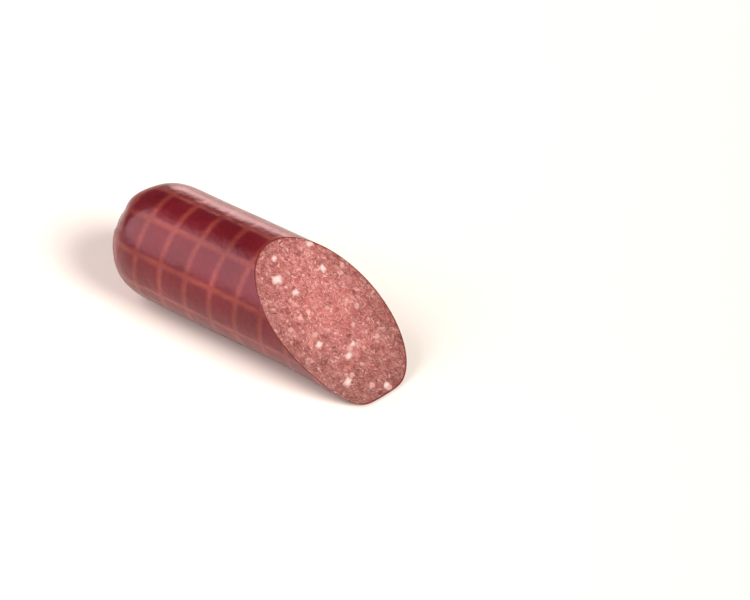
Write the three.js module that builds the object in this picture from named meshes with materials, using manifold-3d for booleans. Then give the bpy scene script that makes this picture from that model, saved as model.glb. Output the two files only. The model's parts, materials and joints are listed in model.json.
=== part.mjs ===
// Half of a cured sausage, lying on its side: a cylinder of filling in a tight casing, sliced off at a slant.
// The casing is drawn together at the other end, where a flat aluminium clip closes it and a short ruffle is left.
// Millimetres, +Z up. +X runs along the sausage from the clipped end to the slanted cut, and it rests on z = 0.

import * as THREE from "three";
import { mergeVertices } from "three/addons/utils/BufferGeometryUtils.js";
import Module from "manifold-3d";

// The sausage.
const BODY_RADIUS = 31;
const AXIS_HEIGHT = 30.2; // less than the radius, because its own weight flattens the underside
const END_LENGTH = 28; // how far the rounded end reaches along the axis
const END_BLUNTNESS = 3.2; // exponent of the radius in the rounded end's outline: 2 is an ellipse
const END_ROUNDNESS = 2.4; // exponent of the length in the same outline
const DIMPLE_RADIUS = 12; // the hollow that the clip pulls into the end
const DIMPLE_DEPTH = 5.5;
const CASING_WALL = 0.6;
const GAP = 0.3; // between separate pieces that touch on the real sausage

// The slanted cut, given by the way its face looks and where it crosses the axis.
const CUT_TILT = THREE.MathUtils.degToRad(49.7); // above the horizon
const CUT_YAW = THREE.MathUtils.degToRad(-9.4); // about the vertical
const CUT_AT = 129; // along the axis, from the tip of the rounded end

// The neck, the clip round it and the ruffle of casing behind it.
const NECK_RADIUS = 3.7;
const CLIP_WIDTH = 5.5;
const CLIP_FRONT = 3.4; // the clip's face inside the dimple, along the axis
const CLIP_THICKNESS = 1.1;
const CLIP_OVERLAP = THREE.MathUtils.degToRad(60); // how far one leg lies over the other
const RUFFLE_LENGTH = 6.5;
const RUFFLE_RADIUS = 5.6;
const RUFFLE_LOBES = 9;
const RUFFLE_DEPTH = 0.9;

const SEGMENTS = 72; // around the sausage, a multiple of RUFFLE_LOBES
const BLANK_LENGTH = 220; // uncut length, longer than the cut piece everywhere
const CUTTER_SIZE = 400;

const wasm = await Module();
wasm.setup();

// A closed three.js geometry as a solid that can be joined and cut.
function toSolid(geometry) {
  const bare = geometry.clone();
  bare.deleteAttribute("normal");
  bare.deleteAttribute("uv");
  const merged = mergeVertices(bare, 1e-4);
  return new wasm.Manifold(
    new wasm.Mesh({
      numProp: 3,
      vertProperties: new Float32Array(merged.attributes.position.array),
      triVerts: new Uint32Array(merged.index.array),
    }),
  );
}

function toGeometry(solid) {
  const mesh = solid.getMesh();
  const geometry = new THREE.BufferGeometry();
  geometry.setAttribute("position", new THREE.BufferAttribute(mesh.vertProperties, 3));
  geometry.setIndex(new THREE.BufferAttribute(mesh.triVerts, 1));
  geometry.computeVertexNormals();
  return geometry;
}

// Turns an outline of [distance along the axis, radius] pairs about the sausage's axis, which is X.
function turned(outline) {
  const points = outline.map(([along, radius]) => new THREE.Vector2(radius, along));
  return new THREE.LatheGeometry(points, SEGMENTS).rotateZ(-Math.PI / 2);
}

// The rounded end's outline, from an inner radius out to the full body, moved inwards by an inset.
// It is a superellipse, with a smooth dimple in its middle.
function endOutline(inset, fromRadius) {
  const full = BODY_RADIUS - inset;
  const depthAt = (r) => END_LENGTH * (1 - (1 - (r / full) ** END_BLUNTNESS) ** (1 / END_ROUNDNESS));
  const dimpleRim = depthAt(DIMPLE_RADIUS);
  const outline = [];
  const dimpleSteps = 5;
  for (let i = 0; i < dimpleSteps; i++) {
    const r = fromRadius + ((DIMPLE_RADIUS - fromRadius) * i) / dimpleSteps;
    const hollow = DIMPLE_DEPTH * (1 - (r / DIMPLE_RADIUS) ** 2) ** 1.5;
    outline.push([inset + dimpleRim + hollow, r]);
  }
  const shoulderSteps = 12;
  for (let i = 0; i <= shoulderSteps; i++) {
    const turn = (Math.PI / 2) * (i / shoulderSteps);
    const r = DIMPLE_RADIUS + (full - DIMPLE_RADIUS) * Math.sin(turn);
    outline.push([inset + depthAt(r), r]);
  }
  return outline;
}

// A cylinder of the sausage's outline moved inwards by an inset, closed on the axis at both ends.
function blank(inset, fromRadius, behind) {
  return turned([
    ...behind,
    ...endOutline(inset, fromRadius),
    [BLANK_LENGTH, BODY_RADIUS - inset],
    [BLANK_LENGTH, 0],
  ]);
}

// The box that a slanted knife takes away: its face is the cut.
function slantedCutter() {
  const box = new THREE.BoxGeometry(CUTTER_SIZE, CUTTER_SIZE, CUTTER_SIZE);
  box.translate(CUTTER_SIZE / 2, 0, 0);
  box.rotateY(-CUT_TILT).rotateZ(CUT_YAW);
  box.translate(CUT_AT, 0, 0);
  return toSolid(box);
}

// Everything below a height above the table, in the frame whose X axis is the sausage's.
function underside(height) {
  const box = new THREE.BoxGeometry(CUTTER_SIZE * 2, CUTTER_SIZE, CUTTER_SIZE);
  box.translate(0, 0, -CUTTER_SIZE / 2 - AXIS_HEIGHT + height);
  return toSolid(box);
}

// The neck and the ruffle behind it, from the ruffle's tip forwards to the dimple.
function ruffleOutline() {
  const root = CLIP_FRONT - CLIP_WIDTH - GAP;
  const tip = root - RUFFLE_LENGTH;
  return [
    [tip, 0],
    [tip, RUFFLE_RADIUS * 0.5],
    [tip + 0.06 * RUFFLE_LENGTH, RUFFLE_RADIUS * 0.85],
    [tip + 0.25 * RUFFLE_LENGTH, RUFFLE_RADIUS],
    [tip + 0.55 * RUFFLE_LENGTH, RUFFLE_RADIUS * 0.92],
    [tip + 0.85 * RUFFLE_LENGTH, RUFFLE_RADIUS * 0.76],
    [root, NECK_RADIUS],
  ];
}

// Pushes the ruffle's surface in and out around the axis, most at its tip and not at all on the neck.
function ruffled(geometry) {
  const root = CLIP_FRONT - CLIP_WIDTH - GAP;
  const position = geometry.attributes.position;
  for (let i = 0; i < position.count; i++) {
    const along = position.getX(i);
    const y = position.getY(i);
    const z = position.getZ(i);
    const behind = Math.min(Math.max((root - along) / (RUFFLE_LENGTH * 0.4), 0), 1);
    const radius = Math.hypot(y, z);
    const wave = RUFFLE_DEPTH * behind * Math.cos(RUFFLE_LOBES * Math.atan2(y, z));
    const scale = 1 + (wave / RUFFLE_RADIUS) * (radius > 0 ? 1 : 0);
    position.setXYZ(i, along, y * scale, z * scale);
  }
  return geometry;
}

// The thin skin: the outer form less the space inside, open at the slanted cut.
function casingGeometry() {
  const outer = toSolid(ruffled(blank(0, NECK_RADIUS, ruffleOutline()))).subtract(underside(0));
  const inside = toSolid(blank(CASING_WALL, 0, [])).subtract(underside(CASING_WALL));
  return toGeometry(outer.subtract(inside).subtract(slantedCutter()));
}

// The meat and fat, one solid mass that fills the casing.
function fillingGeometry() {
  const inset = CASING_WALL + GAP;
  const mass = toSolid(blank(inset, 0, [])).subtract(underside(inset));
  return toGeometry(mass.subtract(slantedCutter()));
}

// A flat strip bent round the neck, with its second leg pressed down over the first.
function clipGeometry() {
  const inner = NECK_RADIUS + GAP;
  const turn = Math.PI * 2 + CLIP_OVERLAP;
  const riseFrom = Math.PI * 1.5;
  const riseTo = Math.PI * 1.9;
  const step = CLIP_THICKNESS + GAP;
  const pointAt = (angle, height) => {
    const risen = THREE.MathUtils.smoothstep(angle, riseFrom, riseTo) * step;
    const radius = inner + risen + height;
    return new THREE.Vector2(radius * Math.cos(angle), radius * Math.sin(angle));
  };
  const steps = 56;
  const angles = Array.from({ length: steps + 1 }, (_, i) => (turn * i) / steps);
  const inside = angles.map((angle) => pointAt(angle, 0));
  const outside = angles.map((angle) => pointAt(angle, CLIP_THICKNESS)).reverse();
  const strip = new THREE.Shape([...outside, ...inside]);
  const geometry = new THREE.ExtrudeGeometry(strip, { depth: CLIP_WIDTH, bevelEnabled: false });
  geometry.translate(0, 0, CLIP_FRONT - CLIP_WIDTH).rotateY(Math.PI / 2);
  return geometry;
}

const casingSkin = new THREE.MeshStandardMaterial({ color: 0x7a2430, roughness: 0.35, metalness: 0 });
const curedMeat = new THREE.MeshStandardMaterial({ color: 0xb5605a, roughness: 0.55, metalness: 0 });
const pressedAluminium = new THREE.MeshStandardMaterial({ color: 0xd6d7d9, roughness: 0.3, metalness: 1 });

function piece(name, geometry, material) {
  const mesh = new THREE.Mesh(geometry, material);
  mesh.name = name;
  return mesh;
}

const sausage = new THREE.Group();
sausage.add(piece("casing", casingGeometry(), casingSkin));
sausage.add(piece("filling", fillingGeometry(), curedMeat));
sausage.add(piece("clip", clipGeometry(), pressedAluminium));

// The origin is on the table, under the middle of the whole object.
const reach = new THREE.Box3().setFromObject(sausage, true);
sausage.position.set(-(reach.min.x + reach.max.x) / 2, -(reach.min.y + reach.max.y) / 2, AXIS_HEIGHT);

export default sausage;
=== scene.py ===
# %% [markdown]
# # Half a cured sausage, cut at a slant
#
# The real object is three things: a smoked casing, the cured meat that fills it, and a strip of
# aluminium that closes the gathered end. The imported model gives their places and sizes, and each
# of them is made again here as a finely shaped surface with its own finish.

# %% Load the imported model
import json
import math

import bpy
import numpy as np
from mathutils import Matrix, Vector


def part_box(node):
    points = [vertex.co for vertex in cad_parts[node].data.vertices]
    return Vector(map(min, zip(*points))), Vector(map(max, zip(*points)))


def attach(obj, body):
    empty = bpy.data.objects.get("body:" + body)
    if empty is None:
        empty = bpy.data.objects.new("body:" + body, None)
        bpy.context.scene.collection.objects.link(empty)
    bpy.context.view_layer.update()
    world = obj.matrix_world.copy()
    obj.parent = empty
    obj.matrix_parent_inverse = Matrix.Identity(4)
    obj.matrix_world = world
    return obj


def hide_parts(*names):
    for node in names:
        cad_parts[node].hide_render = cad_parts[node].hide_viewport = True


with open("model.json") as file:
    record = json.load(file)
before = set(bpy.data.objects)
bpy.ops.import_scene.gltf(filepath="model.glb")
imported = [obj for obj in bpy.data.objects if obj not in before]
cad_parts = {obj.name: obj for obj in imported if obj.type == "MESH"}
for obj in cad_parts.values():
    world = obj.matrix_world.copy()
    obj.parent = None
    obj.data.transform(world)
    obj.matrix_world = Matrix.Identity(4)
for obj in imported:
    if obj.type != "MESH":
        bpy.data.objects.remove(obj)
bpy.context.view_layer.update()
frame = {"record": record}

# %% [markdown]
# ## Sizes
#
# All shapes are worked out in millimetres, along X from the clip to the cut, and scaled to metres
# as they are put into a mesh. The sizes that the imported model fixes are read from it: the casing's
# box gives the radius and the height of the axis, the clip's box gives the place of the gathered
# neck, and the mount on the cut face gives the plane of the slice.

MM = 0.001


def box_mm(node):
    """The lowest and highest corner of a CAD node, in millimetres."""
    low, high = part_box(node)
    return np.array(low) / MM, np.array(high) / MM


casing_low, casing_high = box_mm("casing")
clip_low, clip_high = box_mm("clip")
RADIUS = (casing_high[1] - casing_low[1]) / 2
CAD_LENGTH = casing_high[0] - casing_low[0]
AXIS_HEIGHT = casing_high[2] - RADIUS
CLIP_BACK, CLIP_FACE = clip_low[0], clip_high[0]
CLIP_SUNK = 3.4  # how deep the clip's face stands in the dimple
TIP = CLIP_FACE - CLIP_SUNK
END_LENGTH = 28.0  # the rounded end, from its tip to the shoulder
SHOULDER = TIP + END_LENGTH
WALL = 0.22  # twice the real thickness, so that the rim shows

cut = next(mount for mount in frame["record"]["mounts"] if mount["name"] == "cut_face")
CUT_POINT = np.array(cut["pos_m"]) / MM
CUT_NORMAL = np.array(cut["axis"]) / np.linalg.norm(cut["axis"])
print(f"radius {RADIUS:.2f} mm, axis {AXIS_HEIGHT:.2f} mm up, rounded end at {TIP:.2f} mm")

# %% [markdown]
# ## Small tools for shapes
#
# A soft step, a sum of sine waves for the gentle unevenness of anything stuffed by machine, and a
# curve through points. Each works on whole arrays.

# %% Tools for shapes


def soft_step(start, end, value):
    """0 before start, 1 after end, and 3t^2 - 2t^3 between them, where t is the share of the way."""
    t = np.clip((value - start) / (end - start), 0.0, 1.0)
    return t * t * (3.0 - 2.0 * t)


def waves(seed, wavelength, *coordinates, count=14):
    """The sum of count sine waves with random directions and phases, of about that wavelength.

    The sum is divided by the square root of half their number, so its usual size is 1."""
    rng = np.random.default_rng(seed)
    total = 0.0
    for _ in range(count):
        direction = rng.normal(size=len(coordinates))
        direction *= 2 * np.pi / (wavelength * rng.uniform(0.7, 1.5) * np.linalg.norm(direction))
        phase = rng.uniform(0, 2 * np.pi)
        total = total + np.sin(sum(d * c for d, c in zip(direction, coordinates)) + phase)
    return total / math.sqrt(count / 2)


def curve_through(points, count):
    """A smooth curve through the points: the Catmull-Rom cubic between each pair, as count points."""
    points = np.array(points, float)
    ends = np.vstack([2 * points[0] - points[1], points, 2 * points[-1] - points[-2]])
    t = np.linspace(0, len(points) - 1, count)
    k = np.minimum(t.astype(int), len(points) - 2)
    f = (t - k)[:, None]
    a, b, c, d = ends[k], ends[k + 1], ends[k + 2], ends[k + 3]
    cubic = (3 * b - 3 * c + d - a) * f**3 + (2 * a - 5 * b + 4 * c - d) * f**2
    return 0.5 * (cubic + (c - a) * f + 2 * b)


def evenly(path, count):
    """The path walked in count points that are the same distance apart."""
    along = np.concatenate([[0], np.cumsum(np.hypot(*np.diff(path, axis=0).T))])
    stops = np.linspace(0, along[-1], count)
    return np.stack([np.interp(stops, along, path[:, k]) for k in range(2)], axis=1)


# %% [markdown]
# ## How the half lies
#
# A round sausage of this weight settles. Along its underside it is pressed flat, and where the
# slice leaves only a thin wedge, the wedge spreads to the front until its lower corner touches
# the board. Casing and meat share this shape, so two functions give it for both: how far from
# the axis the surface stands, and the height once it is pressed onto the board.

# %% The settled section
SPREAD = 0.074  # share of the radius
SPREAD_START, SPREAD_END = 40.0, 72.0  # along X
SPREAD_MIDDLE, SPREAD_TURN = math.radians(-147), math.radians(38)  # from straight up
PRESS, PRESS_AT_TIP = 0.12, 1.7  # mm, how softly the section bends onto the board


def wrapped(angle):
    """The angle brought into the half turn on either side of zero."""
    return (angle + np.pi) % (2 * np.pi) - np.pi


def spread(along, angle):
    """How much further out the lower front corner of the wedge stands: 1 plus SPREAD times one
    raised cosine, (1 + cos) / 2, round SPREAD_MIDDLE. It fades in towards the thin end, and is
    wide enough for its height that the section stays round outwards everywhere."""
    off = np.minimum(np.abs(wrapped(angle - SPREAD_MIDDLE)) / SPREAD_TURN, 1.0)
    bump = (1 + np.cos(np.pi * off)) / 2
    return 1 + SPREAD * bump * soft_step(SPREAD_START, SPREAD_END, along)


def cut_at(across, up):
    """The x at which a line along the sausage meets the plane of the slice."""
    beyond = CUT_NORMAL[1] * (across - CUT_POINT[1]) + CUT_NORMAL[2] * (up - CUT_POINT[2])
    return CUT_POINT[0] - beyond / CUT_NORMAL[0]


def settled(along, up):
    """The height of a point once the half lies still: what would go through the board is pressed
    onto it, as (h + sqrt(h^2 + p^2)) / 2. The softness p grows from PRESS to PRESS_AT_TIP."""
    softness = PRESS + (PRESS_AT_TIP - PRESS) * soft_step(SPREAD_START, CAD_LENGTH / 2, along)
    return (up + np.sqrt(up**2 + softness**2)) / 2


def on_cut(radius, angle):
    """The points of the slice at a radius and an angle: (x, across, height).

    The spread depends on x and x on the spread, so the two are worked out in turn until they hold."""
    along = cut_at(radius * np.sin(angle), AXIS_HEIGHT + radius * np.cos(angle))
    for _ in range(12):
        reach = radius * spread(along, angle)
        across, height = reach * np.sin(angle), settled(along, AXIS_HEIGHT + reach * np.cos(angle))
        along = cut_at(across, height)
    return along, across, height


# %% [markdown]
# ## Putting a grid into a mesh
#
# Every piece is a sheet of points in rows and columns, whose columns close into a ring. The first
# and last rows are closed with a fan to one point, so that the piece is watertight. If the
# volume comes out negative the faces look inwards, and they are turned.

# %% Grids to meshes


def signed_volume(points, triangles):
    """One sixth of the sum of a . (b x c) over the triangles: positive if the faces look outwards."""
    a, b, c = (points[triangles[:, k]] for k in range(3))
    return float(np.einsum("ij,ij->", a, np.cross(b, c)) / 6)


def mesh_object(name, points, quads, fans, body, node, corner_maps=None):
    """A smooth object from points in mm, four-sided faces and three-sided fans, set in the frame.

    corner_maps gives, for each UV map, its values at the corners of the quads and of the fans."""
    split = np.vstack([quads[:, [0, 1, 2]], quads[:, [0, 2, 3]], fans])
    volume = signed_volume(points, split)
    if volume < 0:
        quads, fans = quads[:, ::-1], fans[:, ::-1]
    mesh = bpy.data.meshes.new(name)
    mesh.from_pydata((points * MM).tolist(), [], quads.tolist() + fans.tolist())
    for map_name, (on_quads, on_fans) in (corner_maps or {}).items():
        if volume < 0:
            on_quads, on_fans = on_quads[:, ::-1], on_fans[:, ::-1]
        layer = mesh.uv_layers.new(name=map_name)
        layer.uv.foreach_set("vector", np.concatenate([on_quads.ravel(), on_fans.ravel()]))
    mesh.shade_smooth()
    mesh.update()
    piece = bpy.data.objects.new(name, mesh)
    bpy.context.scene.collection.objects.link(piece)
    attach(piece, body)
    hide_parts(node)
    print(f"{name}: {len(split)} triangles, {abs(volume) / 1000:.1f} cubic centimetres")
    return piece


def ring_faces(rows, columns):
    """Quads of a grid whose columns close into a ring, and the column of each corner unwrapped."""
    i, j = np.meshgrid(np.arange(rows - 1), np.arange(columns), indexing="ij")
    i, j = i.ravel(), j.ravel()
    row = np.stack([i, i, i + 1, i + 1], axis=1)
    column = np.stack([j, j + 1, j + 1, j], axis=1)
    return row * columns + column % columns, row, column


# %% [markdown]
# ## The casing
#
# The real casing is a tube of fibrous paper soaked in viscose. It was stuffed tight, pinched
# together at this end and closed with a clip, so its whole girth of nearly 200 mm has to pass
# through a neck of 7 mm. That gives the end its pleats: a few long creases, which start far out
# on the rounded end, and many short ones close to the neck.
#
# It could be modelled by hand and sculpted, or gathered by a cloth simulation. Here it is one
# profile carried round the axis, because the creases are easy to say in words: each is a narrow
# groove that runs towards the neck, with a soft shoulder on both sides.

# %% The casing's profile
COLUMNS = 460
NECK = 3.45
BLUNTNESS, ROUNDNESS = 3.2, 2.4
DIMPLE_RADIUS, DIMPLE_DEPTH = 12.0, 5.5
END_START = 4.8  # the radius at which the neck's curve runs into the rounded end


def end_depth(radius):
    """How far forward of its tip the rounded end is at a radius: a superellipse with a dimple.

    The first is END_LENGTH (1 - (1 - share^BLUNTNESS)^(1 / ROUNDNESS)), share being radius /
    RADIUS, and the dimple is DIMPLE_DEPTH (1 - (radius / DIMPLE_RADIUS)^2)^1.5."""
    share = radius / RADIUS
    round_part = END_LENGTH * (1 - (1 - share**BLUNTNESS) ** (1 / ROUNDNESS))
    dimple = DIMPLE_DEPTH * np.clip(1 - (radius / DIMPLE_RADIUS) ** 2, 0, None) ** 1.5
    return round_part + dimple


# The ruffle's inside and outside: how far in front of the clip's back, and the radius.
tuft_inside = [(-1.4, 0.5), (-2.6, 2.2), (-4.4, 3.8), (-5.8, 4.8), (-6.6, 5.2)]
tuft_outside = [(-6.6, 5.2), (-6.3, 5.6), (-4.8, 5.8), (-3.0, 5.2), (-1.3, 4.1), (-0.1, NECK)]
inside_path = curve_through(tuft_inside, 200) + [CLIP_BACK, 0]
outside_path = curve_through(tuft_outside, 200) + [CLIP_BACK, 0]
neck_path = curve_through(
    [(CLIP_BACK, NECK), (CLIP_BACK + 2.6, 3.35), (CLIP_FACE - 0.2, NECK), (CLIP_FACE + 0.45, 3.75),
     (TIP + end_depth(END_START), END_START)],
    200,
)
turn = np.linspace(0, np.pi / 2, 4000)
end_radius = np.unique(np.maximum(RADIUS * np.sin(turn) ** (2 / BLUNTNESS), END_START))
end_path = np.stack([TIP + end_depth(end_radius), end_radius], axis=1)

end_rows = evenly(end_path, 56)
profile = np.vstack([
    evenly(inside_path, 12),
    evenly(outside_path, 22)[1:],
    evenly(neck_path, 12)[1:],
    end_rows[1:],
])
print(f"{len(profile)} rows from the ruffle to the shoulder")

# %% [markdown]
# Each crease is computed for the whole end at once, as an array of rows by columns, and they are
# added up. The grooves run on through the neck, and behind the clip the ruffle has its own, wider
# folds. How deep a point lies is kept, because the creases are painted dark with it: painted shade,
# and smoke.

# %% The creases
# Each has its angle, the radius at which it starts, its width as an angle, its depth in mm and
# how far it drifts round the end.
CREASES = 54
rng = np.random.default_rng(21)
crease_angle = (np.arange(CREASES) + rng.uniform(-0.42, 0.42, CREASES)) * 2 * np.pi / CREASES
crease_start = 9.5 + 22.5 * rng.uniform(0, 1, CREASES) ** 1.7
crease_width = rng.uniform(0.028, 0.062, CREASES)
crease_depth = rng.uniform(0.45, 1.0, CREASES) * (0.55 + 0.45 * soft_step(12, 26, crease_start))
crease_drift = rng.normal(0, 0.16, CREASES)


def gathered(radius, angle):
    """How far the creases push the casing out (mm) at a radius and an angle, as whole arrays.

    A crease is -exp(-|a| / w) for the groove and 0.35 exp(-((|a| - 2.2 w) / 1.3 w)^2) for its
    shoulders, where a is the angle from its middle, and it fades in from where it starts."""
    push = np.zeros(np.broadcast(radius, angle).shape)
    for k in range(CREASES):
        middle = crease_angle[k] + crease_drift[k] * (radius / RADIUS)
        off = np.abs(wrapped(angle - middle)) / crease_width[k]
        groove = 0.35 * np.exp(-(((off - 2.2) / 1.3) ** 2)) - np.exp(-off)
        fade = soft_step(crease_start[k], crease_start[k] * 0.55, radius)
        push += crease_depth[k] * fade * groove
    return push


FOLDS = 13
fold_angle = (np.arange(FOLDS) + rng.uniform(-0.3, 0.3, FOLDS)) * 2 * np.pi / FOLDS
fold_width = rng.uniform(0.06, 0.12, FOLDS)


def ruffled(angle):
    """The folds of the ruffle as a share of its radius: rounded lobes with sharp valleys between."""
    push = np.zeros(angle.shape)
    for k in range(FOLDS):
        off = np.abs(wrapped(angle - fold_angle[k])) / fold_width[k]
        push -= np.exp(-off)
    return push


# %% The rounded end, the neck and the ruffle
angle = np.arange(COLUMNS) * 2 * np.pi / COLUMNS
x, r = (profile[:, k:k + 1] * np.ones(COLUMNS) for k in range(2))
theta = np.broadcast_to(angle, x.shape)

tangent = np.gradient(profile, axis=0)
tangent /= np.linalg.norm(tangent, axis=1, keepdims=True)
normal_x, normal_r = -tangent[:, 1:2], tangent[:, :1]

# The share of a point's way from the clip's back to the ruffle's lip, and if it is on the end.
behind = soft_step(CLIP_BACK + 0.2, CLIP_BACK - 6.8, x)
on_end = soft_step(CLIP_FACE - 0.4, CLIP_FACE + 0.6, x)
# The neck squeezes the creases shallow, and between them the end stands out in low lobes.
creases = gathered(np.maximum(r, NECK), theta)
squeeze = 0.28 + 0.72 * soft_step(NECK, 9.5, r)
lobes = 0.35 * soft_step(4, 14, r) * soft_step(31, 22, r) * waves(5, 1.1, np.cos(theta), np.sin(theta))
push = creases * squeeze * (1 - behind) * soft_step(-0.5, 2.5, r)
folds = ruffled(theta + 0.45 * behind) * behind * r * 0.27
tuft_x = x - behind * 0.7 * waves(8, 0.9, np.cos(theta), np.sin(theta)) * soft_step(3.6, 5.2, r)

end_x = np.where(x < CLIP_BACK, tuft_x, x) + normal_x * (push + lobes) * on_end
end_r = r + folds + np.where(on_end > 0, normal_r, 1.0) * (push + lobes * on_end)
# The ruffle is twisted a little, leans to one side and hangs down.
end_theta = theta + 0.35 * behind
bend_across, bend_up = 2.0 * behind**2, -2.4 * behind**2
end_across = end_r * np.sin(end_theta) + bend_across
end_up = AXIS_HEIGHT + end_r * np.cos(end_theta) + bend_up
# Painted shade in the creases: one 0.9 mm deep is as dark as any, and the valleys of the ruffle are
# nearly so.
crease_shade_depth = np.clip(-push / 0.9, 0, 1) * (1 - behind) + behind * np.clip(-ruffled(theta), 0, 1) * 0.8
print(f"deepest crease {-push.min():.2f} mm")

# %% [markdown]
# Forward of the shoulder the casing is a plain tube to the slice. Its rows are straight rings at
# the shoulder and lean over, row by row, until the last one lies in the slanted plane. The net
# that the sausage hung in while it was smoked has pressed very shallow lines into it.

# %% The belly
RING_PITCH = 16.26  # along the sausage
LINES = 10  # round it
LINE_TURN = math.radians(3.4)  # of the first line, from straight up
FIRST_RING = SHOULDER - 1.1


def net_relief(arc, turned, depth=0.07):
    """How far the net's lines are pressed in: soft grooves under 4 mm wide, every RING_PITCH
    along the sausage and at each of the LINES round it."""
    ring = np.abs((arc / RING_PITCH + 0.5) % 1 - 0.5) * RING_PITCH
    line = np.abs((turned * LINES / (2 * np.pi) + 0.5) % 1 - 0.5) * 2 * np.pi * RADIUS / LINES
    return -depth * np.maximum(1 - soft_step(0.4, 1.9, ring), 1 - soft_step(0.4, 1.9, line))


# The belly's rows lean over with the share of the way from the shoulder to the slice.
BELLY_ROWS = 92
share = (np.arange(1, BELLY_ROWS + 1) / BELLY_ROWS)[:, None]
round_across = RADIUS * np.sin(angle)
round_up = AXIS_HEIGHT + RADIUS * np.cos(angle)
cut_x, cut_across, cut_up = on_cut(RADIUS, angle)
belly_x = SHOULDER + share * (cut_x - SHOULDER)
fade_in = soft_step(0.0, 0.08, share)
uneven = 0.10 * fade_in * waves(3, 34.0, belly_x, round_across, round_up - AXIS_HEIGHT)
belly_r = RADIUS + (uneven + net_relief(belly_x - FIRST_RING, angle - LINE_TURN)) * (1 - share**8)
belly_r = belly_r * spread(belly_x, angle)
belly_across = belly_r * np.sin(angle)
belly_up = AXIS_HEIGHT + belly_r * np.cos(angle)

# %% The inside and the whole grid
# The inside starts a wall's thickness in, drops LINING_DROP further from the skin, and is closed
# by a dome behind the shoulder. The filling hides all of it but its edge.
LINING_DROP = 0.6
LINING_BACK = END_LENGTH - 6.5
inner = RADIUS - WALL
inner_x, inner_across, inner_up = on_cut(inner, angle)
steps = np.array([0.02, 0.08, 0.25, 0.6, 1.0])[:, None]
lining_x = inner_x + steps * (SHOULDER - inner_x)
lining_r = (inner - LINING_DROP * soft_step(0.0, 0.3, steps)) * spread(lining_x, angle)
dome_turn = np.linspace(0.12, 1.0, 14)[:, None]
back_r = (inner - LINING_DROP) * np.cos(dome_turn * np.pi / 2 * 0.97) * np.ones(COLUMNS)
back_x = SHOULDER - LINING_BACK * np.sin(dome_turn * np.pi / 2) * np.ones(COLUMNS)

all_x = np.vstack([end_x, belly_x, inner_x[None], lining_x, back_x])
all_across = np.vstack([
    end_across, belly_across, inner_across[None],
    lining_r * np.sin(angle), back_r * np.sin(angle),
])
all_up = np.vstack([
    end_up, belly_up, inner_up[None],
    AXIS_HEIGHT + lining_r * np.cos(angle), AXIS_HEIGHT + back_r * np.cos(angle),
])
all_up = settled(all_x, all_up)
rows = len(all_x)
thinnest = (belly_r / spread(belly_x, angle)).min() - (inner - LINING_DROP)
print(f"the lining lies {thinnest:.2f} mm inside the lowest place of the belly")
grid = np.stack([all_x, all_across, all_up], axis=2)
start_pole = np.array([CLIP_BACK - 1.2, 0.0, AXIS_HEIGHT])
end_pole = np.array([SHOULDER - LINING_BACK, 0.0, AXIS_HEIGHT])
points = np.vstack([grid.reshape(-1, 3), start_pole, end_pole])

# %% [markdown]
# Two maps go with the casing. The first, net, counts the net's lines round it and its rings along
# it, so whole numbers lie on the lines. The second holds how deep in a crease a point lies, for the
# painted shade of the creases, and how close it is to the cut rim.

# %% The casing's maps
# The neck and the ruffle only carry the count of the rings on, to 60 mm before the first.
end_arc = np.concatenate([[0], np.cumsum(np.hypot(*np.diff(end_rows, axis=0).T))])
end_arc = end_arc - end_arc[-1] + SHOULDER - FIRST_RING
before = np.linspace(-60, end_arc[0], len(profile) - len(end_rows) + 1)[:-1]
end_v = np.concatenate([before, end_arc])[:, None] * np.ones(COLUMNS)
wall_rows = rows - len(profile) - BELLY_ROWS
net_v = np.vstack([end_v, belly_x - FIRST_RING, np.repeat((inner_x - FIRST_RING)[None], wall_rows, 0)])
net_v /= RING_PITCH
net_u = (np.arange(COLUMNS + 1) * 2 * np.pi / COLUMNS - LINE_TURN) * LINES / (2 * np.pi)
FAR_FROM_CUT = 40.0
to_cut = np.vstack([
    np.full(end_x.shape, FAR_FROM_CUT), cut_x - belly_x, np.zeros((wall_rows, COLUMNS)),
])
rim_mark = 1 - soft_step(0.15, 1.3, to_cut)
crease_shade_map = np.vstack([crease_shade_depth, np.zeros((rows - len(profile), COLUMNS))])

quads, row, column = ring_faces(rows, COLUMNS)
fan = np.arange(COLUMNS)
fan_next = (fan + 1) % COLUMNS
last = (rows - 1) * COLUMNS
start_fan = np.stack([fan_next, fan, np.full(COLUMNS, rows * COLUMNS)], axis=1)
end_fan = np.stack([last + fan, last + fan_next, np.full(COLUMNS, rows * COLUMNS + 1)], axis=1)
fans = np.vstack([start_fan, end_fan])


def corner_map(u, v):
    """The two values at each corner of the quads, and a plain value at the corners of the fans."""
    on_quads = np.stack([u, v], axis=2)
    on_fans = np.broadcast_to(np.array([0.5, 0.5]), (len(fans), 3, 2))
    return on_quads.astype(np.float32), on_fans.astype(np.float32)


casing = mesh_object(
    "casing_skin", points, quads, fans, "root", "casing",
    {
        "net": corner_map(net_u[column], net_v[row, column % COLUMNS]),
        "wear": corner_map(crease_shade_map[row, column % COLUMNS], rim_mark[row, column % COLUMNS]),
    },
)

# %% [markdown]
# ## The filling
#
# The meat is a fine mince with pieces of back fat in it, and the knife has gone through all of it
# alike. So the cut face is a dense grid, mapped from a square onto the round section and slid
# along X into the plane of the slice. The largest fat pieces are listed, each with its place on
# the face, its size and its turn, and smaller ones are scattered between them. Their outlines
# are kept on the mesh as a distance in millimetres, inside positive, and the same distance raises
# the fat a little from the meat, which shrinks more as it dries.

# %% The face and its frame
FACE_ROWS, FACE_COLUMNS = 331, 211
MEAT_RADIUS = RADIUS - WALL - 0.06

level = np.cross([0.0, 0.0, 1.0], CUT_NORMAL)
level /= np.linalg.norm(level)
upslope = np.cross(CUT_NORMAL, level)

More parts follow.
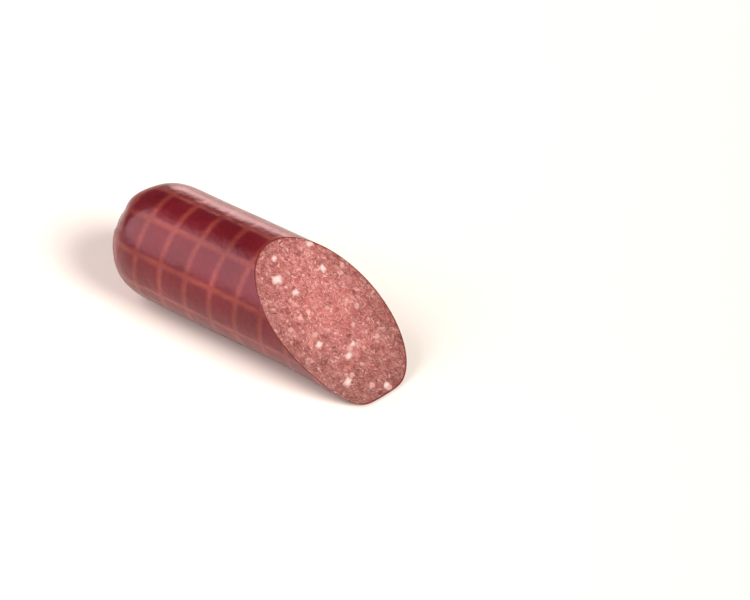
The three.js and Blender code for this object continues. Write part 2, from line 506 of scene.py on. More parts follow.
a = np.linspace(-1, 1, FACE_ROWS)[:, None]
b = np.linspace(-1, 1, FACE_COLUMNS)[None, :]
disc_up = a * np.sqrt(1 - b**2 / 2)
disc_across = b * np.sqrt(1 - a**2 / 2)
disc_r = np.hypot(disc_up, disc_across)
face = np.stack(on_cut(MEAT_RADIUS * disc_r, np.arctan2(disc_across, disc_up)), axis=2)
s = (face - CUT_POINT) @ level
t = (face - CUT_POINT) @ upslope
print(f"face {np.ptp(s):.1f} by {np.ptp(t):.1f} mm, {np.ptp(t) / FACE_ROWS:.2f} mm between points")

# %% Fat pieces of the face
# Each large piece: place across and up the slope, half width, half height, turn, squareness.
LARGE_FAT = [
    (-15, 30, 3.2, 2.5, -18, 5.0),
    (-10, 40, 1.9, 1.6, 30, 3.0),
    (12, 38, 2.5, 1.9, -20, 3.5),
    (11, 24, 2.0, 2.0, 15, 4.0),
    (-10, 20, 2.4, 1.9, 0, 2.4),
    (-14, -8, 2.2, 1.8, 25, 4.0),
    (-3, -20, 2.5, 1.7, 10, 2.8),
    (3, -16, 1.9, 1.4, 20, 2.6),
    (-11, -31, 3.2, 2.0, 25, 5.0),
    (7, -42, 2.2, 1.7, 30, 3.0),
]
SMALL_FAT = 34
NO_FAT = -2.0  # the distance that is kept where no piece is near
rng = np.random.default_rng(77)


def small_fat(count):
    """Small pieces scattered evenly over the slice: the golden angle turns from one to the next,
    and the square root of the share of the count gives the radius, both a little at random."""
    number = np.arange(count) + 0.5
    out = np.sqrt(number / count) * 0.95 + rng.normal(0, 0.03, count)
    bearing = number * math.radians(137.5) + rng.normal(0, 0.25, count)
    half = 0.75 + rng.uniform(0, 1, count) ** 2
    return np.stack([
        out * np.cos(bearing) * np.ptp(s) / 2, out * np.sin(bearing) * np.ptp(t) / 2,
        half * rng.uniform(0.9, 1.5, count), half, rng.uniform(-60, 60, count),
        rng.uniform(2.0, 3.5, count),
    ], axis=1)


def fat_distance(s, t, pieces):
    """The distance in mm to the edge of the nearest fat piece, inside positive, at most 2 outside.

    A piece is a rounded box: with p = |u / half width| and q = |v / half height| in its own turned
    axes, its edge is where p^n + q^n = 1, and the distance is about (1 - (p^n + q^n)^(1/n)) times
    the smaller half size. Slow waves make the edges uneven."""
    nearest = np.full(s.shape, NO_FAT)
    wobble_s = s + 0.15 * waves(31, 3.2, s, t)
    wobble_t = t + 0.15 * waves(32, 3.2, s, t)
    for at_s, at_t, wide, high, turned, square in pieces:
        c, d = math.cos(math.radians(turned)), math.sin(math.radians(turned))
        u = (wobble_s - at_s) * c + (wobble_t - at_t) * d
        v = (wobble_t - at_t) * c - (wobble_s - at_s) * d
        reach = (np.abs(u / wide) ** square + np.abs(v / high) ** square) ** (1 / square)
        nearest = np.maximum(nearest, (1 - reach) * min(wide, high))
    return nearest


def grains(s, t, size, seed):
    """A random height, 0 to 1, for each grain of meat: points are jittered on a square lattice, and
    each place takes the mean of their values, weighted by exp(-6 (distance / size)^2)."""
    rng = np.random.default_rng(seed)
    cells = 200
    jitter = rng.uniform(0.05, 0.95, (cells, cells, 2))
    value = rng.uniform(0, 1, (cells, cells))
    col, line = np.floor(s / size).astype(int), np.floor(t / size).astype(int)
    total, weight = 0.0, 0.0
    for i in (-1, 0, 1):
        for j in (-1, 0, 1):
            ci, cj = (col + i) % cells, (line + j) % cells
            off_s = (col + i + jitter[ci, cj, 0]) * size - s
            off_t = (line + j + jitter[ci, cj, 1]) * size - t
            near = np.exp(-6.0 * (off_s**2 + off_t**2) / size**2)
            total = total + near * value[ci, cj]
            weight = weight + near
    return total / weight


# %% The relief of the face
scattered = small_fat(SMALL_FAT)
thick_fat = fat_distance(s, t, LARGE_FAT)
fat = np.maximum(thick_fat, fat_distance(s, t, scattered))
# Grains of 1.5 and 2.9 mm stand up by a tenth of a millimetre or two, over waves of 11 mm.
drag_s = s + 0.5 * waves(41, 5.0, s, t)
drag_t = t + 0.5 * waves(42, 5.0, s, t)
relief = 0.16 * (grains(drag_s, drag_t, 1.5, 51) - 0.5)
relief += 0.10 * (grains(drag_s, drag_t, 2.9, 52) - 0.5)
relief += 0.05 * waves(43, 11.0, s, t)
FAT_RISE, GAP_DEPTH, CROWN, EDGE_DROP = 0.04, 0.16, 0.35, 0.14
raised = FAT_RISE * soft_step(-0.25, 0.3, fat)
# Here and there the lean has drawn away from the upper side of a piece and left a narrow gap.
upper_side = fat_distance(s, t - 0.45, np.vstack([LARGE_FAT, scattered]))
here_and_there = soft_step(-0.2, 0.6, waves(44, 4.0, s, t))
gap = soft_step(-0.45, -0.1, upper_side) * soft_step(0.0, -0.3, fat) * here_and_there
# The whole face swells out a little in the middle and falls off at the casing.
crown = CROWN * (1 - disc_r**2)
edge_drop = -EDGE_DROP * soft_step(0.975, 1.0, disc_r) ** 2
height = relief * (1 - soft_step(0, 0.4, fat)) + raised - GAP_DEPTH * gap
height *= soft_step(1.0, 0.985, disc_r)
face = face + CUT_NORMAL * (height + crown)[:, :, None]
face[:, :, 0] += edge_drop / CUT_NORMAL[0]
print(f"relief of the face {height.min():.2f} to {height.max():.2f} mm, gaps on {(gap > 0.5).mean():.1%}")

# %% [markdown]
# The sides of the filling are hidden in the casing, so a few coarse rings carry the edge of the
# face back along the sausage and close it in the rounded end.

# %% Close the filling
index = np.arange(FACE_ROWS * FACE_COLUMNS).reshape(FACE_ROWS, FACE_COLUMNS)
edge = np.concatenate([index[0, :-1], index[:-1, -1], index[-1, :0:-1], index[:0:-1, 0]])
edge_angle = np.arctan2(disc_across.ravel()[edge], disc_up.ravel()[edge])
edge_points = face.reshape(-1, 3)[edge]
MEAT_DROP = 1.0
MEAT_BACK = END_LENGTH - 8.0
side_x = edge_points[:, 0] + steps * (SHOULDER - edge_points[:, 0])
side_r = (MEAT_RADIUS - MEAT_DROP * soft_step(0.0, 0.3, steps)) * np.ones(len(edge))
round_back = np.linspace(0.15, 1.0, 8)[:, None]
close_x = SHOULDER - MEAT_BACK * np.sin(round_back * np.pi / 2) * np.ones(len(edge))
close_r = (MEAT_RADIUS - MEAT_DROP) * np.cos(round_back * np.pi / 2 * 0.96) * np.ones(len(edge))
side_x, side_r = np.vstack([side_x, close_x]), np.vstack([side_r, close_r])
side_r = side_r * spread(side_x, edge_angle)
side_across = side_r * np.sin(edge_angle)
side_up = settled(side_x, AXIS_HEIGHT + side_r * np.cos(edge_angle))
side = np.stack([side_x, side_across, side_up], axis=2)
tail = np.array([SHOULDER - MEAT_BACK, 0.0, AXIS_HEIGHT])
meat_points = np.vstack([face.reshape(-1, 3), side.reshape(-1, 3), tail])

# %% Mesh the filling
corners = [index[:-1, :-1], index[:-1, 1:], index[1:, 1:], index[1:, :-1]]
face_quads = np.stack(corners, axis=2).reshape(-1, 4)
around = len(edge)
ring = np.arange(around)
ring_next = (ring + 1) % around
first_side = index.size
levels = [edge] + [first_side + k * around + ring for k in range(len(side_x))]
side_quads = np.vstack([
    np.stack([upper[ring_next], upper, lower, lower[ring_next]], axis=1)
    for upper, lower in zip(levels[:-1], levels[1:])
])
tail_fan = np.stack([levels[-1][ring_next], levels[-1], np.full(around, len(meat_points) - 1)], axis=1)
meat_quads = np.vstack([face_quads, side_quads])
elsewhere = np.full(len(meat_points) - index.size, NO_FAT)
fat_value = np.concatenate([fat.ravel(), elsewhere])
thick_value = np.concatenate([thick_fat.ravel(), elsewhere])
gap_value = np.concatenate([gap.ravel(), np.zeros(len(elsewhere))])

filling = mesh_object(
    "meat_filling", meat_points, meat_quads, tail_fan, "root", "filling",
)
for name, values in (("fat_edge", fat_value), ("thick_fat", thick_value), ("gap", gap_value)):
    layer = filling.data.attributes.new(name, "FLOAT", "POINT")
    layer.data.foreach_set("value", values.astype(np.float32))

# %% [markdown]
# ## The clip
#
# A clipping machine bends a short aluminium strip round the gathered casing and rolls its two
# ends over each other. It could be a tube with a line on it, but the step where the ends overlap
# is what makes it look like a clip. So a flat section with rounded edges is carried along a
# spiral of a turn and a sixth, and the press has left the strip slightly flat in places.

# %% The clip's spiral
CLIP_WIDTH = CLIP_FACE - CLIP_BACK
STRIP = 0.95  # the strip's thickness
LAP = 1.35  # from the hole to the side of the clip's box, past the strip and its climb
clip_inner = (clip_high[1] - clip_low[1]) / 2 - LAP
OVERLAP = math.radians(62)
FULL_TURN = 2 * np.pi / (2 * np.pi + OVERLAP)  # the share of the strip that makes one turn
PATH_STEPS, SECTION_STEPS = 220, 28


def strip_section(count, half_wide, half_thick):
    """A flat bar with round edges: the superellipse |u / half_wide|^8 + |v / half_thick|^2.6 = 1."""
    turned = np.arange(count) * 2 * np.pi / count
    c, d = np.cos(turned), np.sin(turned)
    return half_wide * np.sign(c) * np.abs(c) ** 0.25, half_thick * np.sign(d) * np.abs(d) ** 0.77


section_u, section_v = strip_section(SECTION_STEPS, CLIP_WIDTH / 2, STRIP / 2)
along_strip = np.linspace(0, 1, PATH_STEPS)[:, None]
strip_turn = math.radians(-38) + along_strip * (2 * np.pi + OVERLAP)
climb = soft_step(FULL_TURN - 0.10, FULL_TURN, along_strip)
# The press leaves six slight flats and one dent, and the strip is rolled thin at both ends.
flats = 0.10 * np.cos(6 * strip_turn)
thinner = 1 - 0.75 * soft_step(0.985, 1.0, along_strip) - 0.5 * soft_step(0.015, 0.0, along_strip)
dent = -0.14 * np.exp(-(((along_strip - 0.30) / 0.006) ** 2)) * (section_v > 0)
strip_r = clip_inner + STRIP / 2 + climb * (STRIP + 0.05) + flats + section_v * thinner + dent
strip_x = (CLIP_BACK + CLIP_FACE) / 2 + section_u * (1 - 0.04 * soft_step(0.98, 1.0, along_strip))
strip_x = strip_x * np.ones_like(strip_r)
clip_points = np.stack(
    [strip_x, strip_r * np.sin(strip_turn), AXIS_HEIGHT + strip_r * np.cos(strip_turn)], axis=2
)
clip_ends = clip_points[[0, -1]].mean(axis=1)
all_clip_points = np.vstack([clip_points.reshape(-1, 3), clip_ends])
clip_quads, _, _ = ring_faces(PATH_STEPS, SECTION_STEPS)
k = np.arange(SECTION_STEPS)
k_next = (k + 1) % SECTION_STEPS
last = (PATH_STEPS - 1) * SECTION_STEPS
clip_fans = np.vstack([
    np.stack([k_next, k, np.full(SECTION_STEPS, len(all_clip_points) - 2)], axis=1),
    np.stack([last + k, last + k_next, np.full(SECTION_STEPS, len(all_clip_points) - 1)], axis=1),
])
clip = mesh_object(
    "clip_strip", all_clip_points, clip_quads, clip_fans, "root", "clip",
)

# %% [markdown]
# ## Tools for finishes
#
# Colours are written as the sRGB hex values that a colour picker shows, and turned to linear light.
# One function adds a node with its settings and whatever feeds it.

# %% Tools for finishes


def linear(hex_colour):
    """An sRGB hex colour as linear red, green, blue and full opacity."""
    values = np.array([int(hex_colour[i:i + 2], 16) for i in (1, 3, 5)]) / 255
    light = np.where(values <= 0.04045, values / 12.92, ((values + 0.055) / 1.055) ** 2.4)
    return (*light.tolist(), 1.0)


def add_node(tree, kind, inputs=None, stops=None, **settings):
    """Adds a node: its settings, the stops of its ramp, and a value or a link for each input."""
    made = tree.nodes.new(kind)
    for setting, value in settings.items():
        setattr(made, setting, value)
    for place, (position, colour) in enumerate(stops or []):
        elements = made.color_ramp.elements
        stop = elements[place] if place < len(elements) else elements.new(position)
        stop.position, stop.color = position, linear(colour)
    for socket, value in (inputs or {}).items():
        if isinstance(value, bpy.types.NodeSocket):
            tree.links.new(value, made.inputs[socket])
        else:
            made.inputs[socket].default_value = value
    return made


def new_material(name):
    """An empty node material and its tree."""
    material = bpy.data.materials.new(name)
    material.use_nodes = True
    material.node_tree.nodes.clear()
    return material, material.node_tree


# %% [markdown]
# ## Finish: smoked fibrous casing
#
# Fibrous casing is paper soaked in viscose, dyed and then smoked. It is a deep wine red with a
# satin gloss. Where the net's cords lay against it the smoke hardly reached, which leaves soft
# brick-coloured lines about 3 mm wide. The creases are painted darkest, as painted shade and smoke,
# and at the cut rim it ends in a thin line of dark brick. It could be painted as a picture, but
# whole numbers of the net map already mark the lines, so a few nodes draw them at any size.

# %% The net's lines on the casing
casing_material, tree = new_material("smoked_fibrous_casing")
place = add_node(tree, "ShaderNodeTexCoord").outputs["Object"]
net = add_node(tree, "ShaderNodeUVMap", uv_map="net").outputs["UV"]
net_axes = add_node(tree, "ShaderNodeSeparateXYZ", {"Vector": net}).outputs
wear = add_node(tree, "ShaderNodeUVMap", uv_map="wear").outputs["UV"]
crease_shade_and_rim_axes = add_node(tree, "ShaderNodeSeparateXYZ", {"Vector": wear}).outputs

# The cords of the net didn't lie quite straight: each line wanders by up to a quarter of a
# millimetre, in swings of 7 mm.
wander = add_node(
    tree, "ShaderNodeTexNoise", {"Vector": place, "Scale": 1 / 0.007, "Detail": 2.0}
).outputs["Fac"]
wander_mm = add_node(
    tree, "ShaderNodeMath", {0: wander, 1: 0.5, 2: -0.25}, operation="MULTIPLY_ADD"
).outputs[0]
lines = []
for axis, pitch in (("X", 2 * math.pi * RADIUS / LINES), ("Y", RING_PITCH)):
    off = add_node(tree, "ShaderNodeMath", {0: net_axes[axis], 1: 0.5}, operation="PINGPONG").outputs[0]
    off_mm = add_node(
        tree, "ShaderNodeMath", {0: off, 1: pitch, 2: wander_mm}, operation="MULTIPLY_ADD"
    ).outputs[0]
    lines.append(add_node(
        tree, "ShaderNodeMapRange",
        {"Value": off_mm, "From Min": 0.0, "From Max": 2.8, "To Min": 1.0, "To Max": 0.0},
        interpolation_type="SMOOTHSTEP",
    ).outputs[0])
crossing = add_node(tree, "ShaderNodeMath", {0: lines[0], 1: lines[1]}, operation="MULTIPLY").outputs[0]
either = add_node(tree, "ShaderNodeMath", {0: lines[0], 1: lines[1]}, operation="ADD").outputs[0]
net_mask = add_node(tree, "ShaderNodeMath", {0: either, 1: crossing}, operation="SUBTRACT").outputs[0]

# %% The casing's colour
# Smoke takes unevenly, in patches of about 22 mm.
smoke = add_node(
    tree, "ShaderNodeTexNoise", {"Vector": place, "Scale": 1 / 0.022, "Detail": 3.0}
).outputs["Fac"]
patch_colour = add_node(
    tree, "ShaderNodeValToRGB", {"Fac": smoke}, stops=[(0.30, "#590e15"), (0.70, "#6d141e")]
).outputs["Color"]
line_colour = add_node(
    tree, "ShaderNodeValToRGB", {"Fac": smoke}, stops=[(0.30, "#86392e"), (0.70, "#96463a")]
).outputs["Color"]
strength = add_node(
    tree, "ShaderNodeMapRange",
    {"Value": smoke, "From Min": 0.3, "From Max": 0.7, "To Min": 0.40, "To Max": 0.74},
).outputs[0]
net_share = add_node(tree, "ShaderNodeMath", {0: net_mask, 1: strength}, operation="MULTIPLY").outputs[0]
netted = add_node(
    tree, "ShaderNodeMix", {0: net_share, 6: patch_colour, 7: line_colour}, data_type="RGBA"
).outputs[2]
# The paper's fibres take the dye unevenly: blotches of 2.5 mm, three tenths darker at most.
blotches = add_node(
    tree, "ShaderNodeTexNoise",
    {"Vector": place, "Scale": 1 / 0.0025, "Detail": 4.0, "Roughness": 0.65},
).outputs["Fac"]
blotch_share = add_node(
    tree, "ShaderNodeMapRange", {"Value": blotches, "From Min": 0.35, "From Max": 0.68},
).outputs[0]
netted = add_node(
    tree, "ShaderNodeMix", {0: blotch_share, 6: netted, 7: linear("#e3dad8")},
    data_type="RGBA", blend_type="MULTIPLY",
).outputs[2]
# Painted shade: the creases are darkened with their depth, together with their smoke.
crease_shaded = add_node(
    tree, "ShaderNodeMix", {0: crease_shade_and_rim_axes["X"], 6: netted, 7: linear("#36080e")}, data_type="RGBA"
).outputs[2]
rimmed = add_node(
    tree, "ShaderNodeMix", {0: crease_shade_and_rim_axes["Y"], 6: crease_shaded, 7: linear("#6c2723")}, data_type="RGBA"
).outputs[2]

# %% The casing's surface
# The paper's fibres are finer than this, and are drawn 1.1 mm wide so that they show at all.
fibres = add_node(
    tree, "ShaderNodeTexNoise", {"Vector": place, "Scale": 1 / 0.0011, "Detail": 3.0}
).outputs["Fac"]
gloss = add_node(
    tree, "ShaderNodeMapRange",
    {"Value": smoke, "From Min": 0.3, "From Max": 0.7, "To Min": 0.27, "To Max": 0.34},
).outputs[0]
weave = add_node(
    tree, "ShaderNodeBump", {"Height": fibres, "Strength": 0.05, "Distance": 0.0002}
).outputs["Normal"]
# The skin is never quite even over the mince: waves of 6 mm, about a tenth of a mm high.
swells = add_node(
    tree, "ShaderNodeTexNoise", {"Vector": place, "Scale": 1 / 0.0060, "Detail": 2.0}
).outputs["Fac"]
skin = add_node(
    tree, "ShaderNodeBump",
    {"Height": swells, "Strength": 0.35, "Distance": 0.0010, "Normal": weave},
).outputs["Normal"]
# A slight pink in the reflection keeps the sheen from looking grey on the deep red.
shader = add_node(tree, "ShaderNodeBsdfPrincipled", {
    "Base Color": rimmed, "Roughness": gloss, "IOR": 1.47, "Normal": skin,
    "Specular Tint": linear("#ffccd2"), "Coat Weight": 0.06, "Coat Roughness": 0.18,
})
add_node(tree, "ShaderNodeOutputMaterial", {"Surface": shader.outputs[0]})
casing.data.materials.append(casing_material)
print(f"{casing_material.name}: {len(tree.nodes)} nodes")

# %% [markdown]
# ## Finish: cured minced meat
#
# The lean is a brownish pink, in grains of about 1.5 mm that the mincer and the mixer have dragged
# into short curls. Between them lie paler, fatter grains and specks of fat of up to 2 mm. The
# pieces of fat come from the distances kept on the mesh, and their edges fray into the meat. The
# surface is moist, so each grain has its small highlight.

# %% The meat's tone
meat_material, tree = new_material("cured_minced_meat")
place = add_node(tree, "ShaderNodeTexCoord").outputs["Object"]
# Curls of about 4 mm, made by pushing the coordinates about, at most by 4 mm each way.
drag = add_node(
    tree, "ShaderNodeTexNoise", {"Vector": place, "Scale": 1 / 0.0042, "Detail": 2.0}
).outputs["Color"]
centred = add_node(
    tree, "ShaderNodeVectorMath", {0: drag, 1: (0.5, 0.5, 0.5)}, operation="SUBTRACT"
).outputs[0]
dragged = add_node(
    tree, "ShaderNodeVectorMath", {0: centred, 1: (0.0085, 0.0085, 0.0085), 2: place},
    operation="MULTIPLY_ADD",
).outputs[0]
# The tone adds up grains of 1.4 mm, fibres of 2.7 mm, specks of 0.7 mm, lumps of 6 mm and
# smears of 14 mm.
grain = add_node(tree, "ShaderNodeTexVoronoi", {"Vector": dragged, "Scale": 1 / 0.0014})
grain_value = add_node(tree, "ShaderNodeSeparateColor", {"Color": grain.outputs["Color"]}).outputs[0]
fibre = add_node(tree, "ShaderNodeTexNoise", {
    "Vector": dragged, "Scale": 1 / 0.0027, "Detail": 4.0, "Roughness": 0.66, "Distortion": 0.8,
}).outputs["Fac"]
fine = add_node(
    tree, "ShaderNodeTexNoise", {"Vector": dragged, "Scale": 1 / 0.0007, "Detail": 2.0}
).outputs["Fac"]
broad = add_node(
    tree, "ShaderNodeTexNoise", {"Vector": place, "Scale": 1 / 0.014, "Detail": 2.0}
).outputs["Fac"]
mottle = add_node(
    tree, "ShaderNodeTexNoise", {"Vector": dragged, "Scale": 1 / 0.0058, "Detail": 2.0}
).outputs["Fac"]
tone = 0.0
for source, weight in ((grain_value, 0.26), (fibre, 1.55), (fine, 0.45), (mottle, 0.72), (broad, 0.45)):
    tone = add_node(
        tree, "ShaderNodeMath", {0: source, 1: weight, 2: tone}, operation="MULTIPLY_ADD"
    ).outputs[0]
tone = add_node(
    tree, "ShaderNodeMapRange", {"Value": tone, "From Min": 1.31, "From Max": 2.19}
).outputs[0]
lean = add_node(tree, "ShaderNodeValToRGB", {"Fac": tone}, stops=[
    (0.0, "#7a3b34"), (0.25, "#944941"), (0.5, "#ab5d56"), (0.75, "#bd726a"), (1.0, "#dd9f93"),
]).outputs["Color"]

# %% Threads and specks
# Thin pale threads of fat and dark ones of lean run where a noise passes its middle value.
threads = {}
for thread, size in (("pale", 0.0036), ("dark", 0.0044)):
    level_noise = add_node(
        tree, "ShaderNodeTexNoise", {"Vector": dragged, "Scale": 1 / size, "Detail": 1.5}
    ).outputs["Fac"]
    off = add_node(tree, "ShaderNodeMath", {0: level_noise, 1: 0.5}, operation="SUBTRACT").outputs[0]
    width = add_node(tree, "ShaderNodeMath", {0: off}, operation="ABSOLUTE").outputs[0]
    line = add_node(
        tree, "ShaderNodeMapRange",
        {"Value": width, "From Min": 0.0, "From Max": 0.045, "To Min": 0.8, "To Max": 0.0},
    ).outputs[0]
    threads[thread] = add_node(
        tree, "ShaderNodeMath", {0: line, 1: fine}, operation="MULTIPLY"
    ).outputs[0]
threaded = add_node(
    tree, "ShaderNodeMix", {0: threads["pale"], 6: lean, 7: linear("#dfa69a")}, data_type="RGBA"
).outputs[2]
lean = add_node(
    tree, "ShaderNodeMix", {0: threads["dark"], 6: threaded, 7: linear("#86413c")}, data_type="RGBA"
).outputs[2]
# Specks of fat: most cells of a 2.7 mm pattern hold one, up to 1 mm in radius.
specks = add_node(tree, "ShaderNodeTexVoronoi", {"Vector": dragged, "Scale": 1 / 0.0027})
speck_value = add_node(tree, "ShaderNodeSeparateColor", {"Color": specks.outputs["Color"]}).outputs
speck_size = add_node(
    tree, "ShaderNodeMapRange",
    {"Value": speck_value[1], "From Min": 0.30, "From Max": 1.0, "To Min": 0.0, "To Max": 0.42},
).outputs[0]
speck_depth = add_node(
    tree, "ShaderNodeMath", {0: speck_size, 1: specks.outputs["Distance"]}, operation="SUBTRACT"
).outputs[0]
speck_mask = add_node(
    tree, "ShaderNodeMapRange",
    {"Value": speck_depth, "From Min": -0.08, "From Max": 0.14, "To Min": 0.0, "To Max": 0.70},
    interpolation_type="SMOOTHSTEP",
).outputs[0]
specked = add_node(
    tree, "ShaderNodeMix", {0: speck_mask, 6: lean, 7: linear("#d9a59b")}, data_type="RGBA"
).outputs[2]

# %% Pieces of fat, and painted shade towards the rim and in the gaps
fat_edge = add_node(tree, "ShaderNodeAttribute", attribute_name="fat_edge").outputs["Fac"]
frayed = add_node(
    tree, "ShaderNodeMath", {0: fine, 1: 0.9, 2: fat_edge}, operation="MULTIPLY_ADD"
).outputs[0]
fat_mask = add_node(
    tree, "ShaderNodeMapRange",
    {"Value": frayed, "From Min": 0.20, "From Max": 1.35, "To Min": 0.0, "To Max": 0.95},
    interpolation_type="SMOOTHSTEP",
).outputs[0]
# Small pieces are thin and let the red of the lean through, and large ones are palest inside.
thick_fat_edge = add_node(tree, "ShaderNodeAttribute", attribute_name="thick_fat").outputs["Fac"]
fat_depth = add_node(
    tree, "ShaderNodeMath", {0: thick_fat_edge, 1: 0.35, 2: broad}, operation="MULTIPLY_ADD"
).outputs[0]
fat_tone = add_node(tree, "ShaderNodeValToRGB", {"Fac": fat_depth}, stops=[
    (0.30, "#bd8a80"), (0.60, "#c2958b"), (1.0, "#d6bcb4"),
]).outputs["Color"]
# Painted shade: the meat is darker from the casing inwards, most in the thin wedge, by up to a
# half. Its centre, the brightest line, lies 8 mm above the axis.
SHADE_CENTRE_RISE = 8
shade_centre = (0.0, 0.0, (AXIS_HEIGHT + SHADE_CENTRE_RISE) * MM)
from_shade_centre = add_node(
    tree, "ShaderNodeVectorMath", {0: place, 1: shade_centre}, operation="SUBTRACT"
).outputs[0]
section_only = add_node(
    tree, "ShaderNodeVectorMath", {0: from_shade_centre, 1: (0.0, 1.0, 1.0)}, operation="MULTIPLY"
).outputs[0]
radius = add_node(
    tree, "ShaderNodeVectorMath", {0: section_only}, operation="LENGTH"
).outputs["Value"]
rim_shade = add_node(
    tree, "ShaderNodeMapRange", {"Value": radius, "From Min": 0.010, "From Max": 0.037}
).outputs[0]
# Painted shade: the colour is multiplied darker away from the centre line.
rim_shaded = add_node(
    tree, "ShaderNodeMix", {0: rim_shade, 6: specked, 7: linear("#c6c2bb")},
    data_type="RGBA", blend_type="MULTIPLY",
).outputs[2]
with_fat = add_node(
    tree, "ShaderNodeMix", {0: fat_mask, 6: rim_shaded, 7: fat_tone}, data_type="RGBA"
).outputs[2]
# Painted shade: the narrow gaps beside the fat are darkened, for the shadow in them.
gap_shade_mark = add_node(tree, "ShaderNodeAttribute", attribute_name="gap").outputs["Fac"]
gap_shade_share = add_node(tree, "ShaderNodeMath", {0: gap_shade_mark, 1: 0.28}, operation="MULTIPLY").outputs[0]
gap_shaded = add_node(
    tree, "ShaderNodeMix", {0: gap_shade_share, 6: with_fat, 7: linear("#6e3330")}, data_type="RGBA"
).outputs[2]

# %% The meat's surface
lumps = add_node(
    tree, "ShaderNodeMath", {0: grain.outputs["Distance"], 1: -0.5, 2: fibre}, operation="MULTIPLY_ADD"
).outputs[0]
grain_bump = add_node(
    tree, "ShaderNodeBump", {"Height": lumps, "Strength": 0.5, "Distance": 0.0006}
).outputs["Normal"]
shader = add_node(tree, "ShaderNodeBsdfPrincipled", {
    "Base Color": gap_shaded, "Roughness": 0.42, "IOR": 1.42, "Normal": grain_bump,
    "Subsurface Weight": 0.12, "Subsurface Radius": (1.0, 0.4, 0.25), "Subsurface Scale": 0.0015,
})
add_node(tree, "ShaderNodeOutputMaterial", {"Surface": shader.outputs[0]})
filling.data.materials.append(meat_material)
print(f"{meat_material.name}: {len(tree.nodes)} nodes")

# %% [markdown]
# ## Finish: pressed aluminium strip
#
# The strip is rolled aluminium, bright and slightly brushed along its length, with a softer
# reflection than a polished part. Metals keep their usual reflection, so only the roughness and
# the bump vary, in fine scratches that run along the strip.

# %% Make the clip's finish
clip_material, tree = new_material("pressed_aluminium_strip")
place = add_node(tree, "ShaderNodeTexCoord").outputs["Object"]
# Scratches 0.12 mm wide and 4 mm long.
stretched = add_node(
    tree, "ShaderNodeMapping", {"Vector": place, "Scale": (1 / 0.00012, 1 / 0.004, 1 / 0.004)}
).outputs[0]
scratches = add_node(
    tree, "ShaderNodeTexNoise", {"Vector": stretched, "Scale": 1.0, "Detail": 3.0}
).outputs["Fac"]
metal_gloss = add_node(
    tree, "ShaderNodeMapRange", {"Value": scratches, "To Min": 0.18, "To Max": 0.42}
).outputs[0]
scratch_bump = add_node(
    tree, "ShaderNodeBump", {"Height": scratches, "Strength": 0.15, "Distance": 0.00005}
).outputs["Normal"]
shader = add_node(tree, "ShaderNodeBsdfPrincipled", {
    "Base Color": linear("#e3e4e6"), "Metallic": 1.0, "Roughness": metal_gloss,
    "Normal": scratch_bump,
})
add_node(tree, "ShaderNodeOutputMaterial", {"Surface": shader.outputs[0]})
clip.data.materials.append(clip_material)
print(f"{clip_material.name}: {len(tree.nodes)} nodes")

# %% [markdown]
# ## Floor, light and camera
#
# The floor is plain and pale. A wide soft light stands in front and to the left, whose reflection
# makes the long sheen on the near side. A second one stands low behind, for the highlight along
# the far side. A third is far away to the right, as a window is, so that it lights the slice and
# the whole floor evenly, and the cylinder can't mirror it towards the camera.

# %% The floor
FLOOR_SIZE, FLOOR_DROP = 7.0, 0.0002  # metres; just below zero, so no face lies in another
bpy.ops.mesh.primitive_plane_add(size=FLOOR_SIZE, location=(0, 0, -FLOOR_DROP))
floor = bpy.context.object
floor.name = "floor"
floor_material, tree = new_material("pale_floor")
shader = add_node(tree, "ShaderNodeBsdfPrincipled", {
    "Base Color": linear("#f6eee2"), "Roughness": 0.9, "Specular IOR Level": 0.0})
add_node(tree, "ShaderNodeOutputMaterial", {"Surface": shader.outputs[0]})
floor.data.materials.append(floor_material)

# %% The lights
middle = Vector((0.0, 0.0, AXIS_HEIGHT * MM))


def soft_box(name, direction, distance, width, height, watts, colour):
    """A rectangular area light that looks at the middle of the half from a direction."""
    light = bpy.data.lights.new(name, "AREA")
    light.shape = "RECTANGLE"
    light.size, light.size_y = width, height
    light.energy = watts
    light.color = linear(colour)[:3]
    holder = bpy.data.objects.new(name, light)
    way = Vector(direction).normalized()
    holder.location = middle + way * distance
    holder.rotation_euler = way.to_track_quat("Z", "Y").to_euler()
    bpy.context.scene.collection.objects.link(holder)
    print(f"{name}: {watts} W, {width} by {height} m")


soft_box("light_front_left", (-0.56, -0.60, 0.57), 1.0, 1.15, 1.05, 13.2, "#fff5fb")
soft_box("light_behind", (-0.33, 0.93, 0.19), 1.5, 1.2, 0.42, 10.0, "#ffd8d4")
far_lamp = bpy.data.lights.new("light_key", "SUN")
far_lamp.energy, far_lamp.angle = 4.0, math.radians(30)
key = bpy.data.objects.new("light_key", far_lamp)
key.rotation_euler = Vector((0.80, -0.08, 0.60)).to_track_quat("Z", "Y").to_euler()
bpy.context.scene.collection.objects.link(key)

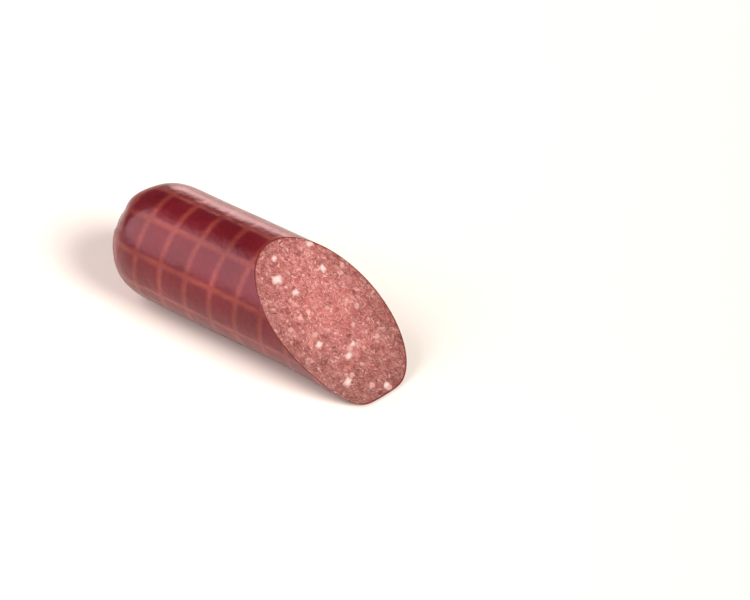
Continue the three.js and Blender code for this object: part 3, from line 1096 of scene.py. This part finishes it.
# %% The world
# As a light the world is white at a tenth. The camera sees it as a pale wall of about the far
# floor's colour, so that the far floor makes no dark band against it in low views.
world = bpy.data.worlds.new("studio")
bpy.context.scene.world = world
world.use_nodes = True
tree = world.node_tree
tree.nodes.clear()
seen = add_node(tree, "ShaderNodeLightPath").outputs["Is Camera Ray"]
fill = add_node(tree, "ShaderNodeBackground", {"Color": linear("#ffffff"), "Strength": 0.10})
backdrop = add_node(tree, "ShaderNodeBackground", {"Color": linear("#e7e0d4"), "Strength": 1.0})
both = add_node(tree, "ShaderNodeMixShader", {0: seen, 1: fill.outputs[0], 2: backdrop.outputs[0]})
add_node(tree, "ShaderNodeOutputWorld", {"Surface": both.outputs[0]})

# %% The camera
AIM = Vector(CUT_POINT * MM) + Vector((0.00814, 0.02467, 0.00044))
AZIMUTH, ELEVATION, ROLL = (math.radians(value) for value in (37.64, 37.37, -0.22))
DISTANCE = 1.46985
LENS = 141.78

backwards = Vector((
    math.sin(AZIMUTH) * math.cos(ELEVATION),
    -math.cos(AZIMUTH) * math.cos(ELEVATION),
    math.sin(ELEVATION),
))
sideways = Vector((math.cos(AZIMUTH), math.sin(AZIMUTH), 0.0))
upwards = backwards.cross(sideways)
rolled_side = math.cos(ROLL) * sideways + math.sin(ROLL) * upwards
rolled_up = math.cos(ROLL) * upwards - math.sin(ROLL) * sideways
turned = Matrix((rolled_side, rolled_up, backwards)).transposed().to_4x4()
camera_data = bpy.data.cameras.new("camera")
camera_data.lens = LENS
camera_data.sensor_width = 36.0
camera = bpy.data.objects.new("camera", camera_data)
camera.matrix_world = Matrix.Translation(AIM + backwards * DISTANCE) @ turned
bpy.context.scene.collection.objects.link(camera)
bpy.context.scene.camera = camera
bpy.context.scene.view_settings.view_transform = "Standard"
print(f"camera {DISTANCE:.2f} m from its aim, with a lens of {LENS:.0f} mm")

# %% [markdown]
# ## The last step
#
# The view layer is brought up to date.

# %% Update the view layer
bpy.context.view_layer.update()
